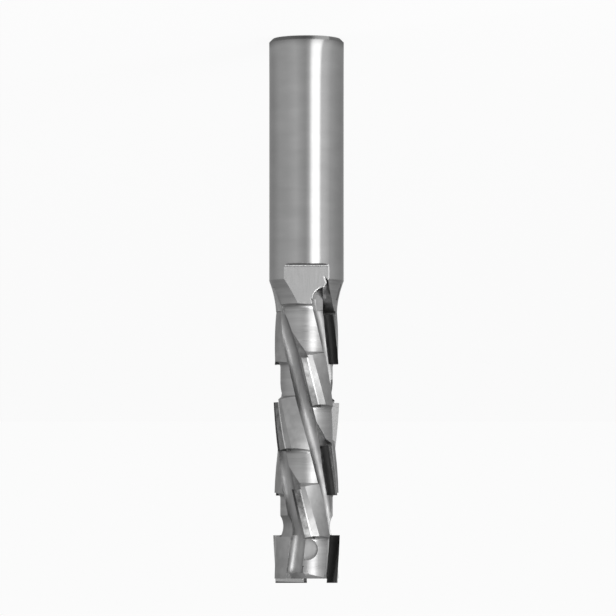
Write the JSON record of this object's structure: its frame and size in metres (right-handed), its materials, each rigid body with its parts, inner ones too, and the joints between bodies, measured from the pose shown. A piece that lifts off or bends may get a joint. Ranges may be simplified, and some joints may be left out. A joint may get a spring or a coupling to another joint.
{
  "type": "router cutter",
  "caption": "Shank-type router cutter with brazed diamond-faced tips stepped round helical flutes, for boards and wood.",
  "frame": {"origin": "centre of the shank's flat end face, on which the cutter stands", "axes": "+Z along the cutter's axis from the shank end to the cutting end; -Y towards the side shown in the picture"},
  "size_m": [0.02, 0.0202, 0.1456],
  "materials": {
    "steel": "ground shank, milled and turned flutes",
    "carbide": "ground tungsten carbide, satin",
    "diamond": "polished polycrystalline diamond, black"
  },
  "bodies": {
    "root": {"cutter_body": "steel", "carbide_base_01": "carbide", "carbide_base_02": "carbide", "carbide_base_03": "carbide", "carbide_base_04": "carbide", "carbide_base_05": "carbide", "carbide_base_06": "carbide", "carbide_base_07": "carbide", "carbide_base_08": "carbide", "carbide_base_09": "carbide", "carbide_base_10": "carbide", "carbide_base_11": "carbide", "carbide_base_12": "carbide", "diamond_layer_01": "diamond", "diamond_layer_02": "diamond", "diamond_layer_03": "diamond", "diamond_layer_04": "diamond", "diamond_layer_05": "diamond", "diamond_layer_06": "diamond", "diamond_layer_07": "diamond", "diamond_layer_08": "diamond", "diamond_layer_09": "diamond", "diamond_layer_10": "diamond", "diamond_layer_11": "diamond", "diamond_layer_12": "diamond"}
  },
  "joints": []
}
